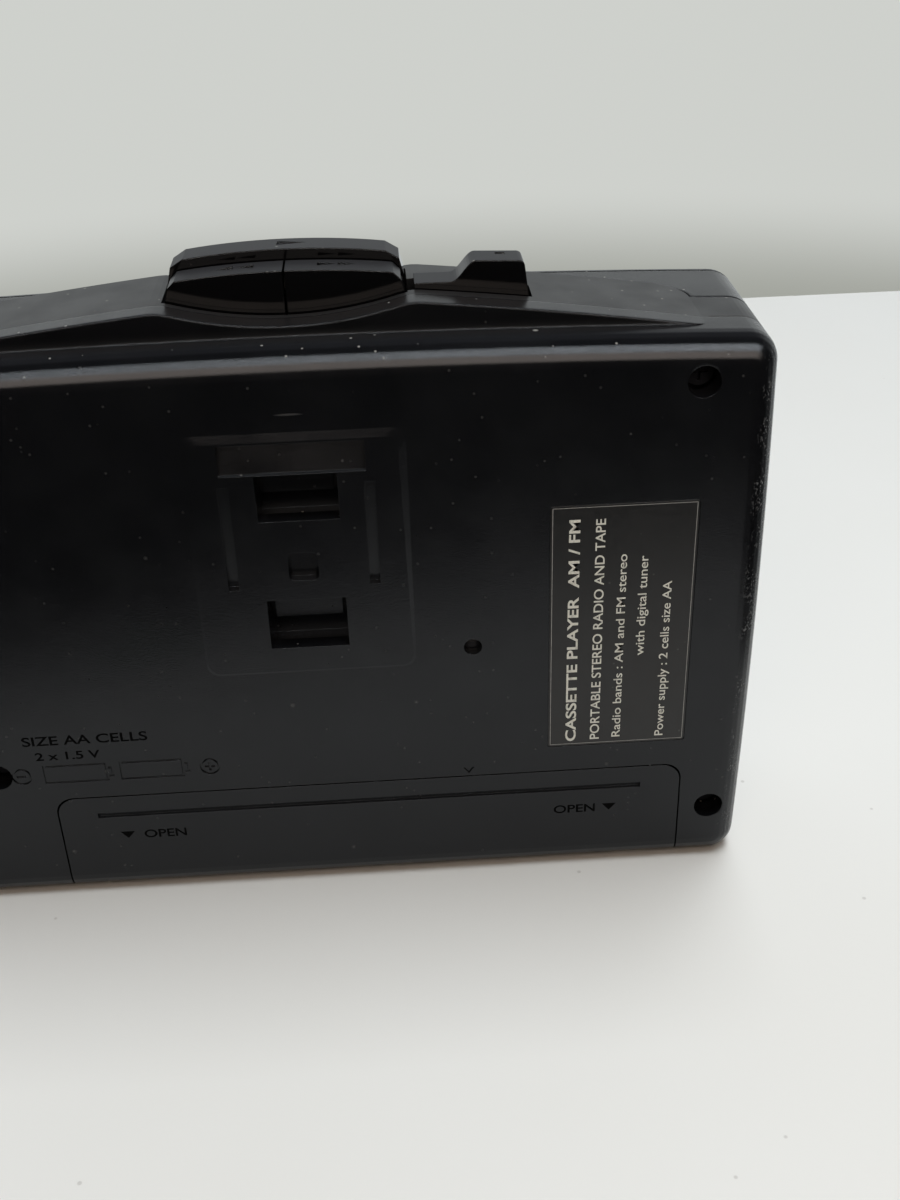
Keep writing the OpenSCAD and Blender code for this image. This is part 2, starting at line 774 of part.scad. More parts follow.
module control_panel() {
    color(shell_colour)
    difference() {
        intersection() {
            front_solid();
            door_side(panel_x0, 80);
        }
        slab(seam_plate - 1, 31.6) rrect(48.6, 67.4, 5.5, 89, 1);
        slab(seam_plate - 1, case_t + 1) display_outline(-1, 1);
        slab(case_t - 0.6, case_t + 1) display_outline(0, 1.5);
        slab(case_t - 0.5, case_t + 1) rrect(49.6, 66.6, 8.4, 50.2, 2.4);
        for (z = tuner_key_z) slab(seam_plate - 1, case_t + 1) key_outline(z, 0.25);
    }
}

module display_window() {
    color([0.3, 0.33, 0.3, 0.5]) slab(case_t - 0.58, case_t - 0.1) display_outline(-0.1, 1.4);
}

module display_module() {
    color("#8d9a83") {
        block(display[0] + 0.4, display[1] - 0.4, 29.4, 31.3, display[2] + 0.6, display[3] - 0.6);
        block(display[0] + 1.6, display[1] - 1.6, 25.2, 29.4, display[2] + 2, display[3] - 2);
    }
}

module tuner_key(z) {
    slab(29.3, case_t - 0.05) key_outline(z, 0);
    // Flange held behind the panel, and the stem that presses the switch
    slab(30.3, 31.5) rrect(key_x0 - 0.6, key_x1 + 0.6, z - key_h / 2 - 0.6, z + key_h / 2 + 0.6, 1);
    yrod((key_x0 + key_x1) / 2, z, 26.1, 29.5, 1.4);
}

module tuner_key_at(index) {
    color("#2b2d31") {
        difference() {
            tuner_key(tuner_key_z[index]);
            slab(case_t - 0.3, case_t + 1) translate([(key_x0 + key_x1) / 2, tuner_key_z[index]]) {
                if (index == 0) difference() {
                    circle(1.2);
                    circle(0.8);
                }
                if (index == 1) translate([-1.3, -0.3]) square([2.6, 0.6]);
                if (index == 2) polygon([[-1.2, 0.8], [1.2, 0.8], [0, -0.9]]);
                if (index == 3) polygon([[-1.2, -0.8], [1.2, -0.8], [0, 0.9]]);
            }
        }
    }
}

module power_key() {
    tuner_key_at(0);
}

module band_key() {
    tuner_key_at(1);
}

module tune_down_key() {
    tuner_key_at(2);
}

module tune_up_key() {
    tuner_key_at(3);
}

module tuner_board() {
    color("#2f6b3c")
    difference() {
        slab(24, 25.2) rrect(48.6, 67, 5, 89, 0.8);
        for (p = board_posts) yrod(p[0], p[1], 23, 26, 0.7);
    }
}

// ---------- mechanism ----------
// Spur gear as an outline with straight-sided teeth
module gear_outline(teeth, phase) {
    r = pitch_r(teeth);
    top = r + gear_module * 0.85;
    root = r - gear_module * 1.15;
    step = 360 / teeth;
    polygon([for (k = [0:teeth - 1]) for (p = [[root, -0.33], [top, -0.11], [top, 0.11], [root, 0.33]])
        p[0] * [cos(phase + step * (k + p[1])), sin(phase + step * (k + p[1]))]]);
}

module deck_cover() {
    color("#2c2e33")
    difference() {
        slab(16.65, 17.5) difference() {
            rrect(-67, 45.6, 18.4, 88.3, 2);
            // Window for the head and the pinch roller, open at the top
            rrect(tape_x - 46, tape_x + 40, 57, 92, 2);
            translate([takeup_x, reel_z]) circle(6);
            translate([supply_x, reel_z]) circle(6);
        }
        // Clear of the case screw posts
        for (w = wells) yrod(w[0], w[1], 10, 20, boss_r + 0.3);
    }
}

module chassis() {
    color(steel_colour)
    difference() {
        slab(chassis_d[0], chassis_d[1]) difference() {
            union() {
                rrect(-67, 50, 19, 83.8, 2);
                rrect(40, 67.2, 46.2, 73, 2);
            }
            for (w = wells) translate(w) circle(boss_r + 0.4);
            translate([capstan_x, capstan_z]) circle(2.5);
            translate([motor_x, motor_z]) circle(3.2);
            for (p = chassis_screw_at) translate(p) circle(1);
            rrect(16, 38, 58, 76, 3);
            rrect(-14, 4, 20, 30, 3);
            rrect(24, 44, 24, 48, 4);
        }
    }
}

module capstan_bush() {
    color("#c9a14a")
    difference() {
        union() {
            yrod(capstan_x, capstan_z, 12.5, 13.8, 2.45);
            yrod(capstan_x, capstan_z, 12.4, chassis_d[0] - eps, 3.4);
        }
        yrod(capstan_x, capstan_z, 12, 15, capstan_r + run_fit);
    }
}

module capstan_shaft() {
    color("#d8dade") {
        yrod(capstan_x, capstan_z, 8.75, 27.6, capstan_r);
        difference() {
            slab(gear_d[0], gear_d[1]) translate([capstan_x, capstan_z]) gear_outline(pinion_teeth, 0);
            yrod(capstan_x, capstan_z, 13, 17, capstan_r - eps);
        }
    }
}

module flywheel() {
    color("#b9bcc2")
    difference() {
        union() {
            yrod(capstan_x, capstan_z, 9.3, 12, flywheel_r);
            yrod(capstan_x, capstan_z, 9.3, 12.2, 3);
        }
        // Belt groove
        difference() {
            yrod(capstan_x, capstan_z, 9.9, 11.1, flywheel_r + 1);
            yrod(capstan_x, capstan_z, 9.8, 11.2, flywheel_r - 0.7);
        }
        difference() {
            yrod(capstan_x, capstan_z, 8, 9.8, 12);
            yrod(capstan_x, capstan_z, 8, 9.9, 4);
        }
        yrod(capstan_x, capstan_z, 8, 13, capstan_r);
    }
}

module flywheel_bracket() {
    color(steel_colour)
    difference() {
        union() {
            slab(7.9, 8.6) slot(capstan_x, capstan_z - 18.4, capstan_z + 18.4, 3.4);
            for (s = [-1, 1]) yrod(capstan_x, capstan_z + 18.4 * s, 8.5, chassis_d[0], 1.7);
        }
        for (s = [-1, 1]) yrod(capstan_x, capstan_z + 18.4 * s, 7, 9.4, 0.8);
    }
}

module motor() {
    color("#c4c7cc")
    difference() {
        union() {
            yrod(motor_x, motor_z, 13.7, 23.4, motor_r);
            yrod(motor_x, motor_z, 12.9, 13.7, 3);
            yrod(motor_x, motor_z, 23.3, 23.7, 4);
        }
        for (x = [-6, 6]) yrod(motor_x + x, motor_z, 13, 15, 0.8);
        yrod(motor_x, motor_z, 12, 15, 0.8);
    }
}

module motor_pulley() {
    color("#c9a14a") {
        difference() {
            yrod(motor_x, motor_z, 9.5, 11.5, pulley_r + 0.9);
            difference() {
                yrod(motor_x, motor_z, 9.9, 11.1, pulley_r + 2);
                yrod(motor_x, motor_z, 9.8, 11.2, pulley_r - 0.2);
            }
        }
        yrod(motor_x, motor_z, 11.4, 14.5, 0.72);
    }
}

// Flat belt round the flywheel and the pulley
module belt_outline(grow) {
    hull() {
        translate([capstan_x, capstan_z]) circle(flywheel_r - 0.6 + grow);
        translate([motor_x, motor_z]) circle(pulley_r - 0.1 + grow);
    }
}

module drive_belt() {
    color("#141414") slab(10.1, 10.9) difference() {
        belt_outline(0.7);
        belt_outline(0);
    }
}

module idler_gear() {
    color("#e6e2d6")
    difference() {
        union() {
            slab(gear_d[0], gear_d[1]) translate(idler_pos) gear_outline(idler_teeth, idler_phase);
            yrod(idler_pos[0], idler_pos[1], gear_d[0], gear_d[1] + 0.3, 2.4);
        }
        yrod(idler_pos[0], idler_pos[1], 13, 17, 1 + run_fit);
    }
}

// Hub that enters the cassette's reel, with three driving fins
module spindle(x) {
    difference() {
        union() {
            yrod(x, reel_z, gear_d[1] - 0.2, 17.9, 5);
            yrod(x, reel_z, gear_d[1], 25.4, 3.1);
            yrod(x, reel_z, 25.3, 26, 2.3);
            for (k = [0:2]) {
                translate([x, 0, reel_z]) rotate([0, 120 * k, 0]) block(-0.6, 0.6, 17.8, 25, 0, 4.6);
            }
        }
        yrod(x, reel_z, 13, 24.5, 1 + run_fit);
    }
}

module takeup_spindle() {
    color("#e6e2d6") {
        spindle(takeup_x);
        difference() {
            slab(gear_d[0], gear_d[1]) {
                translate([takeup_x, reel_z]) gear_outline(takeup_teeth, takeup_phase);
            }
            yrod(takeup_x, reel_z, 13, 17, 1 + run_fit);
        }
    }
}

module supply_spindle() {
    color("#e6e2d6") {
        spindle(supply_x);
        difference() {
            yrod(supply_x, reel_z, gear_d[0], gear_d[1], 9);
            yrod(supply_x, reel_z, 13, 17, 1 + run_fit);
        }
    }
}

// Pins and shouldered studs riveted into the chassis
module chassis_pins() {
    color("#d8dade") {
        for (x = [takeup_x, supply_x]) yrod(x, reel_z, chassis_d[1], 24.2, 1);
        yrod(idler_pos[0], idler_pos[1], chassis_d[1], 16.2, 1);
        yrod(arm_x, arm_z, chassis_d[1], 18.9, 1.2);
        for (x = head_slots) {
            yrod(x, stud_z, chassis_d[1], 17, 1.2);
            yrod(x, stud_z, 16.9, 17.3, 2);
            yrod(x, stud_z, chassis_d[1], head_d[0] - 0.1, 1.8);
        }
    }
}

// Sliding steel plate that carries the head into the cassette
module head_plate() {
    color("#b9bcc2")
    slab(head_d[0], head_d[1]) difference() {
        rrect(-31.5, 11.5, tape_edge_z + 1.2, 84.2, 1.2);
        for (x = head_slots) slot(x, 77, 82.2, 1.3);
        translate([tape_x + 8, 78.5]) circle(1.6);
    }
}

module playback_head() {
    color("#c9ccd1") {
        // Screened head body with a curved face towards the tape
        intersection() {
            block(tape_x - 6, tape_x + 6, head_d[1], 27.6, tape_edge_z + 0.8, 81.5);
            slab(head_d[1], 28) translate([tape_x, tape_edge_z + 0.8 + 14]) circle(14);
        }
        block(tape_x - 8.4, tape_x + 8.4, head_d[1], head_d[1] + 0.7, 76, 83.4);
    }
}

roller_pos = [arm_x + arm_len * cos(arm_rest), arm_z + arm_len * sin(arm_rest)];

module pinch_arm() {
    color(steel_colour)
    difference() {
        union() {
            slab(17.55, 18.25) {
                translate([arm_x, arm_z]) circle(3);
                translate(roller_pos) circle(2.4);
                translate([arm_x, arm_z]) rotate(arm_rest) translate([0, -2]) square([arm_len, 4]);
            }
            yrod(arm_x, arm_z, chassis_d[1] + 0.1, 17.6, 2.4);
        }
        yrod(arm_x, arm_z, 13, 19, 1.2 + run_fit);
    }
    // Roller pin riveted into the arm
    color("#d8dade") yrod(roller_pos[0], roller_pos[1], 18.2, 27.7, 0.9);
}

module pinch_roller() {
    color("#1a1a1a")
    difference() {
        yrod(roller_pos[0], roller_pos[1], 18.8, 27, roller_r);
        yrod(roller_pos[0], roller_pos[1], 18, 28, 0.9 + run_fit);
    }
}

// ---------- electronics ----------
module main_board() {
    color("#2f6b3c")
    difference() {
        slab(2.7, 3.9) {
            translate([-66, 31]) square([47, 50.5]);
            translate([-66, 28]) square([132, 12.2]);
            translate([-58, 26]) square([106, 4]);
        }
        for (w = wells) yrod(w[0], w[1], 1, 9, boss_r + 0.5);
    }
}

module tuner_can() {
    color("#c4c7cc") {
        block(-64, -54, 3.95, 7.4, 33, 47);
        block(22, 38, 3.95, 7.8, 29, 40);
        block(-8, 6, 3.95, 5.6, 28.5, 38);
    }
}

// Capacitors, and the speed trimmer behind its hole in the rear shell
module board_parts() {
    color("#23305c") {
        for (p = [[-50, 34], [-42, 34], [-62, 52], [-62, 60], [14, 34]]) yrod(p[0], p[1], 3.9, 8.2, 2.5);
    }
    color("#e8c23a")
    difference() {
        yrod(-24.7, 45.2, 2.05, 2.7, 2.2);
        block(-26, -23.4, 1, 2.35, 45, 45.4);
    }
}

module ferrite_rod() {
    color("#4a4744") block(-50, 2, 3.3, 7.6, 20.8, 24.6);
}

module antenna_coil() {
    color("#b3642c")
    difference() {
        block(-44, -30, 2.95, 7.95, 20.45, 24.95);
        block(-45, -29, 3.3, 7.6, 20.8, 24.6);
    }
}

// ---------- power ----------
module battery_tray() {
    color("#2c2e33") {
        difference() {
            block(tray_x0, tray_x1, 16.65, 17.45, 1.9, 18);
            // Clear of the door hinge knuckle
            block(knuckle_x[1] - 0.3, knuckle_x[1] + knuckle_w + 0.3, 16, 18, 1, 5.1);
        }
        block(tray_x0, tray_x1, 3.1, 17.45, 17.1, 18);
        block(tray_x0, tray_x0 + 0.8, 4.4, 17.45, 1.9, 18);
        block(tray_x1 - 1, tray_x1, 4.4, 17.45, 1.9, 18);
    }
}

module negative_spring() {
    color(steel_colour)
    translate([tray_x1 - 1, yd(9.3), 9.3]) rotate([0, -90, 0]) coil(4.2, 0.3, 0.35, 5, 4, 2);
}

module positive_plate() {
    color(steel_colour) {
        block(tray_x0 + 0.8, tray_x0 + 1.15, 5, 13.8, 5, 14);
        xrod(tray_x0 + 1.1, tray_x0 + 1.7, 9.3, 9.3, 2.2);
    }
}

// ---------- controls on the end ----------
module volume_wheel() {
    color("#2b2d31")
    difference() {
        yrod(wheel_x, wheel_z, 9.5, 12.4, wheel_r);
        for (k = [0:35]) translate([wheel_x, 0, wheel_z]) rotate([0, 10 * k, 0])
            block(wheel_r - 0.35, wheel_r + 1, 9, 13, -0.25, 0.25);
    }
    color(steel_colour) yrod(wheel_x, wheel_z, 7.2, 9.6, 1.5);
}

module volume_pot() {
    color("#3a3c40")
    difference() {
        block(wheel_x - 4.8, wheel_x + 4.8, 3.95, 9, wheel_z - 4.8, wheel_z + 4.8);
        yrod(wheel_x, wheel_z, 6.8, 10, 1.5 + run_fit);
    }
}

module headphone_jack() {
    color("#1c1c1e")
    difference() {
        union() {
            block(55.5, 67.2, 10.4, 16.1, jack_z - 2.9, jack_z + 2.9);
            xrod(67.1, 69, jack_d, jack_z, 3);
        }
        xrod(56.5, 70, jack_d, jack_z, 1.8);
    }
}

module function_switch() {
    color("#3a3c40")
    difference() {
        block(62.4, 67.1, 10.8, 15.2, switch_z - 6, switch_z + 6);
        block(65.4, 68, 11.6, 14.4, switch_z - 4.6, switch_z + 4.6);
    }
}

module switch_knob() {
    color("#2b2d31") {
        block(65.8, 69, 11.9, 14.1, switch_z - 4.4, switch_z + 0.6);
    }
}

module chassis_screws() {
    color("#c4c7cc")
    for (p = chassis_screw_at) {
        difference() {
            union() {
                yrod(p[0], p[1], 10.4, 13.7, 0.78);
                yrod(p[0], p[1], 13.65, 14.6, 1.9);
            }
            block(p[0] - 1.1, p[0] + 1.1, 14.1, 15, p[1] - 0.2, p[1] + 0.2);
        }
    }
}

// ---------- assembly ----------
rear_shell();
mid_frame();
battery_door();
spec_label();
case_screws();
play_key();
rewind_key();
forward_key();
stop_key();
key_frame();
key_spring(0);  // play_spring
key_spring(1);  // rewind_spring
key_spring(2);  // forward_spring
key_spring(3);  // stop_spring
door_body();
door_plate();
door_window();
cassette_guides();
cassette_springs();
door_hinge_pins();
control_housing();
control_panel();
display_window();
display_module();
tuner_board();
power_key();
band_key();
tune_down_key();
tune_up_key();
deck_cover();
chassis();
capstan_bush();
capstan_shaft();
flywheel();
flywheel_bracket();
motor();
motor_pulley();
drive_belt();
idler_gear();
takeup_spindle();
supply_spindle();
chassis_pins();
chassis_screws();
head_plate();
playback_head();
pinch_arm();
pinch_roller();
main_board();
tuner_can();
board_parts();
ferrite_rod();
antenna_coil();
battery_tray();
negative_spring();
positive_plate();
volume_wheel();
volume_pot();
headphone_jack();
function_switch();
switch_knob();
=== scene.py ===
"""Looks of the portable radio cassette player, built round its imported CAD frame.

Row frame: +X tuner end, +Y rear face, +Z up. Lengths are metres, except in the print and mouldings section,
which counts in millimetres. Depths are counted from the rear face, inwards.
"""
import json
import math

import bmesh
import bpy
from mathutils import Matrix, Vector


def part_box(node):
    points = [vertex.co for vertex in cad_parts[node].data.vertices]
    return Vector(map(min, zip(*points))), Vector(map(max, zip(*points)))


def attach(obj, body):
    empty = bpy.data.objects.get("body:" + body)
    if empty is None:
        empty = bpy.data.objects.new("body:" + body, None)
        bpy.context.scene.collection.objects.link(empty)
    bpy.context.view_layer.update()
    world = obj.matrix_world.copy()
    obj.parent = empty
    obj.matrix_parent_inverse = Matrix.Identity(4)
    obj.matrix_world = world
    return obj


MM = 0.001
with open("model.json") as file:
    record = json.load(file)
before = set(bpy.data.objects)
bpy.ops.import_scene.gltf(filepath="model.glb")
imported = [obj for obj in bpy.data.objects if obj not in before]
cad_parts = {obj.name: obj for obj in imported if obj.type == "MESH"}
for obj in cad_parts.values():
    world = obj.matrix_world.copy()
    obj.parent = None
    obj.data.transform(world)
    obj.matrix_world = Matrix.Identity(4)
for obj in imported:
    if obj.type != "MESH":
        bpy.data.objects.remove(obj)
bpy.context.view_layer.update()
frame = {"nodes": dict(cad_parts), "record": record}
NODES = frame["nodes"]
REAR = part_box("battery_door")[1].y    # the flat of the rear face: the clip seat stands proud of it
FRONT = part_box("door_plate")[0].y


def at(x, depth, z):
    """A point from X, depth behind the rear face and Z, all in millimetres."""
    return Vector((x * MM, REAR - depth * MM, z * MM))


# ---------- materials ----------
# Rounding that the Bevel node gives to the look of edges
EDGE_RADIUS = 0.00012
KEY_EDGE_RADIUS = 0.0003
RIM_RADIUS = 0.00055        # the shells' outer rim
FINE_RADIUS = 0.0001        # grooves and marks inside the rim
GRAIN_HEIGHT = 0.00001
SCRATCH_WIDTH = 0.09        # share of a pattern cell
SCRATCH_LAYS = (            # turn about Y in radians, and stretch
    (0.5, (1.0, 1.0, SCRATCH_WIDTH)),
    (-0.9, (SCRATCH_WIDTH, 1.0, 1.0)),
)
DUST_COLOUR = (0.42, 0.42, 0.4)
SCUFF_COLOUR = (0.16, 0.16, 0.16)
WEAR_COLOUR = (0.2, 0.205, 0.21)
# Sockets of a Mix node set to colour, by number because its other types use the same names
MIX_FACTOR = 0
MIX_A = 6
MIX_B = 7
MIX_RESULT = 2


class Paint:
    """A Principled material with short helpers for its procedural nodes."""

    def __init__(self, name, colour, roughness, edge=EDGE_RADIUS, **sockets):
        self.material = bpy.data.materials.new(name)
        self.material.use_nodes = True
        self.tree = self.material.node_tree
        self.shader = self.tree.nodes["Principled BSDF"]
        self.colour = (*colour, 1)
        self.rough = roughness
        self.shader.inputs["Base Color"].default_value = self.colour
        self.shader.inputs["Roughness"].default_value = roughness
        for key, value in sockets.items():
            self.shader.inputs[key.replace("_", " ")].default_value = value
        self.place = self.tree.nodes.new("ShaderNodeTexCoord").outputs["Object"]
        self.normal = None
        if edge:
            self.rounding = self.node("ShaderNodeBevel", {"Radius": edge}, samples=4)
            self.normal = self.rounding.outputs[0]
            self.tree.links.new(self.normal, self.shader.inputs["Normal"])

    def node(self, kind, links=(), **settings):
        made = self.tree.nodes.new(kind)
        for key, value in settings.items():
            setattr(made, key, value)
        for socket, value in dict(links).items():
            if isinstance(value, bpy.types.NodeSocket):
                self.tree.links.new(value, made.inputs[socket])
            else:
                made.inputs[socket].default_value = value
        return made

    def maths(self, operation, a, b):
        return self.node("ShaderNodeMath", {0: a, 1: b}, operation=operation).outputs[0]

    def ramp(self, value, low, high, to_low=0.0, to_high=1.0):
        links = {"Value": value, "From Min": low, "From Max": high, "To Min": to_low, "To Max": to_high}
        return self.node("ShaderNodeMapRange", links).outputs[0]

    def stretched(self, scale):
        return self.node("ShaderNodeMapping", {"Vector": self.place, "Scale": scale}).outputs[0]

    def noise(self, scale, detail=2.0, vector=None):
        links = {"Vector": vector or self.place, "Scale": scale, "Detail": detail}
        return self.node("ShaderNodeTexNoise", links).outputs["Fac"]

    def dots(self, scale, radius, share, vector=None):
        """Sparse round spots: 1 inside a spot, 0 elsewhere."""
        cell = self.node("ShaderNodeTexVoronoi", {"Vector": vector or self.place, "Scale": scale})
        inside = self.ramp(cell.outputs["Distance"], radius, radius * 0.6)
        pick = self.node("ShaderNodeSeparateColor", {"Color": cell.outputs["Color"]}).outputs[0]
        return self.maths("MULTIPLY", inside, self.maths("GREATER_THAN", pick, 1 - share))

    def scratches(self, scale, share):
        """Short thin marks in two directions: 1 on a mark, 0 elsewhere."""
        total = None
        for turn, stretch in SCRATCH_LAYS:
            links = {"Vector": self.place, "Rotation": (0, turn, 0), "Scale": stretch}
            laid = self.node("ShaderNodeMapping", links).outputs[0]
            line = self.dots(scale, SCRATCH_WIDTH, share, laid)
            total = line if total is None else self.maths("MAXIMUM", total, line)
        return total

    def tint(self, mask, colour):
        """Blends the colour socket towards colour where mask is high."""
        socket = self.shader.inputs["Base Color"]
        old = socket.links[0].from_socket if socket.links else self.colour
        links = {MIX_FACTOR: mask, MIX_A: old, MIX_B: (*colour, 1)}
        mix = self.node("ShaderNodeMix", links, data_type="RGBA")
        self.tree.links.new(mix.outputs[MIX_RESULT], socket)
        return self

    def roughen(self, mask, amount):
        """Adds amount to the roughness where mask is high."""
        socket = self.shader.inputs["Roughness"]
        old = socket.links[0].from_socket if socket.links else self.rough
        total = self.maths("ADD", old, self.maths("MULTIPLY", mask, amount))
        self.tree.links.new(total, socket)
        return self

    def bump(self, height, distance, strength=1.0):
        """Fine relief over whatever normal the material has so far."""
        links = {"Height": height, "Distance": distance, "Strength": strength}
        if self.normal is not None:
            links["Normal"] = self.normal
        self.normal = self.node("ShaderNodeBump", links).outputs[0]
        self.tree.links.new(self.normal, self.shader.inputs["Normal"])
        return self

    def facing(self, axis):
        """1 where the surface faces along an axis of the row frame, 0 across it, -1 against it."""
        normal = self.node("ShaderNodeNewGeometry").outputs["Normal"]
        parts = self.node("ShaderNodeSeparateXYZ", {"Vector": normal})
        return parts.outputs["XYZ".index(axis)]

    def along(self, axis):
        """The surface point's coordinate on one axis."""
        return self.node("ShaderNodeSeparateXYZ", {"Vector": self.place}).outputs["XYZ".index(axis)]

    def dust(self, amount):
        """Lint and dust that settles on what faces up, with a few specks elsewhere."""
        up = self.ramp(self.facing("Z"), 0.2, 0.9, 0.12, 1.0)
        fine = self.dots(900, 0.2, 0.05 * amount)
        coarse = self.dots(260, 0.13, 0.03 * amount)
        speck = self.maths("MAXIMUM", fine, coarse)
        mask = self.maths("MULTIPLY", speck, up)
        self.tint(self.maths("MULTIPLY", mask, 0.55), DUST_COLOUR)
        self.roughen(mask, 0.4)
        return self


def moulded(name, colour, roughness, grain, dust, **sockets):
    """Sand-textured moulded plastic, with grain and dust as multiples of an ordinary amount."""
    p = Paint(name, colour, roughness, **sockets)
    p.roughen(p.ramp(p.noise(160, 3.0), 0.35, 0.7), 0.07)
    p.tint(p.ramp(p.noise(70, 4.0), 0.4, 0.75, 0.0, 0.5), [c * 1.5 + 0.002 for c in colour])
    p.bump(p.noise(5200, 3.0), GRAIN_HEIGHT * grain)
    p.bump(p.noise(420, 2.0), GRAIN_HEIGHT * grain, 0.4)
    p.tint(p.maths("MULTIPLY", p.scratches(420, 0.06), 0.25), SCUFF_COLOUR)
    if dust:
        p.dust(dust)
    return p


def shell_plastic():
    """The outer shells: black, rounder at the ends and the top rim, with worn specks towards the ends."""
    p = moulded("shell_plastic", (0.0035, 0.0038, 0.0048), 0.2, 2.2, 1.4, Specular_IOR_Level=0.32,
                Specular_Tint=(0.91, 0.95, 1, 1))
    across = p.node("ShaderNodeMath", {0: p.along("X")}, operation="ABSOLUTE").outputs[0]
    end_rim = p.ramp(across, 0.065, 0.0655)
    top_rim = p.ramp(p.along("Z"), 0.0885, 0.0892)
    radius = p.ramp(p.maths("MAXIMUM", end_rim, top_rim), 0.0, 1.0, FINE_RADIUS, RIM_RADIUS)
    p.tree.links.new(radius, p.rounding.inputs["Radius"])
    ends = p.maths("MULTIPLY", p.ramp(across, 0.066, 0.0676), p.ramp(across, 0.0692, 0.0686))
    specks = p.ramp(p.noise(3000, 4.0, p.stretched((1, 1, 0.6))), 0.55, 0.64)
    patch = p.ramp(p.noise(260, 3.0), 0.42, 0.58)
    wear = p.maths("MULTIPLY", p.maths("MULTIPLY", ends, patch), specks)
    p.tint(p.maths("MULTIPLY", wear, 0.75), WEAR_COLOUR)
    p.roughen(wear, 0.35)
    return p.material


def key_plastic():
    """Keys with glossy upright faces and satin tops, which painted sheen makes slightly paler."""
    p = Paint("key_plastic", (0.003, 0.003, 0.0036), 0.09, KEY_EDGE_RADIUS, Specular_IOR_Level=0.28)
    top = p.ramp(p.facing("Z"), 0.45, 0.8)
    # painted sheen: a paler colour on faces that look up; the added roughness is the real satin finish
    p.tint(top, (0.02, 0.021, 0.024))
    p.roughen(top, 0.4)
    p.bump(p.noise(5000, 2.0), 0.000003, 0.5)
    p.bump(p.noise(260, 2.0), 0.00001, 0.2)
    p.dust(1.6)
    return p.material


def metal(name, colour, roughness, brushed=(1, 1, 1)):
    """Bare or plated metal; brushed squeezes its fine grain into lines."""
    p = Paint(name, colour, roughness, Metallic=1.0)
    p.roughen(p.ramp(p.noise(300, 3.0), 0.3, 0.75), 0.12)
    p.tint(p.ramp(p.noise(90, 4.0), 0.45, 0.8, 0.0, 0.45), [c * 0.72 for c in colour])
    p.bump(p.noise(3200, 2.0, p.stretched(brushed)), 0.000004)
    return p.material


def rubber():
    p = Paint("rubber", (0.014, 0.014, 0.015), 0.62)
    p.bump(p.noise(3000, 3.0), 0.00002)
    p.tint(p.ramp(p.noise(240, 3.0), 0.5, 0.8, 0.0, 0.6), (0.035, 0.035, 0.036))
    return p.material


def clear_plastic(name, colour):
    p = Paint(name, colour, 0.03, edge=0, Transmission_Weight=1.0, IOR=1.46)
    p.roughen(p.scratches(1200, 0.08), 0.08)
    p.bump(p.noise(60, 1.0), 0.00003, 0.3)
    return p.material


def label_film():
    p = Paint("label_film", (0.0045, 0.0045, 0.005), 0.3, Specular_IOR_Level=0.45)
    p.bump(p.noise(70, 2.0), 0.00006, 0.35)
    p.roughen(p.ramp(p.noise(900, 3.0), 0.4, 0.8), 0.12)
    p.tint(p.maths("MULTIPLY", p.scratches(500, 0.1), 0.3), (0.14, 0.14, 0.14))
    p.dust(0.8)
    return p.material


def print_ink(name, colour, **sockets):
    """Ink with small faded patches; it also makes the near-black painted shade of the sunk marks."""
    p = Paint(name, colour, 0.5, edge=0, **sockets)
    p.tint(p.ramp(p.noise(1500, 3.0), 0.52, 0.68, 0.0, 0.5), [c * 0.45 for c in colour])
    return p.material


def circuit_board():
    """Green solder resist over copper tracks, with tinned dots."""
    p = Paint("circuit_board", (0.012, 0.09, 0.035), 0.3, Coat_Weight=0.5)
    laid = p.node("ShaderNodeMapping", {"Vector": p.place, "Rotation": (math.pi / 2, 0, 0)}).outputs[0]
    tracks = p.node("ShaderNodeTexBrick", {"Vector": laid, "Scale": 260.0, "Mortar Size": 0.03})
    line = p.ramp(tracks.outputs["Fac"], 0.2, 0.8)
    p.tint(p.maths("MULTIPLY", line, 0.8), (0.03, 0.2, 0.07))
    p.bump(line, 0.00004)
    pads = p.dots(420, 0.25, 0.5)
    p.tint(pads, (0.55, 0.53, 0.5))
    p.bump(pads, 0.0001)
    return p.material


def winding():
    """Enamelled wire wound round the rod: fine turns across X."""
    p = Paint("winding", (0.42, 0.16, 0.06), 0.28, Metallic=0.9)
    turns = p.node("ShaderNodeTexWave", {"Vector": p.place, "Scale": 560.0}, bands_direction="X")
    p.bump(turns.outputs["Fac"], 0.00012)
    p.tint(p.ramp(p.noise(400), 0.4, 0.8, 0.0, 0.6), (0.2, 0.07, 0.03))
    return p.material


def liquid_crystal():
    p = Paint("liquid_crystal", (0.44, 0.5, 0.38), 0.35)
    p.tint(p.ramp(p.noise(60, 2.0), 0.4, 0.7, 0.0, 0.3), (0.38, 0.44, 0.33))
    p.bump(p.noise(6000, 1.0), 0.000004)
    return p.material


def ferrite():
    p = Paint("ferrite", (0.03, 0.028, 0.027), 0.55)
    p.bump(p.noise(1400, 5.0), 0.00008)
    p.tint(p.dots(900, 0.3, 0.1), (0.11, 0.1, 0.1))
    return p.material


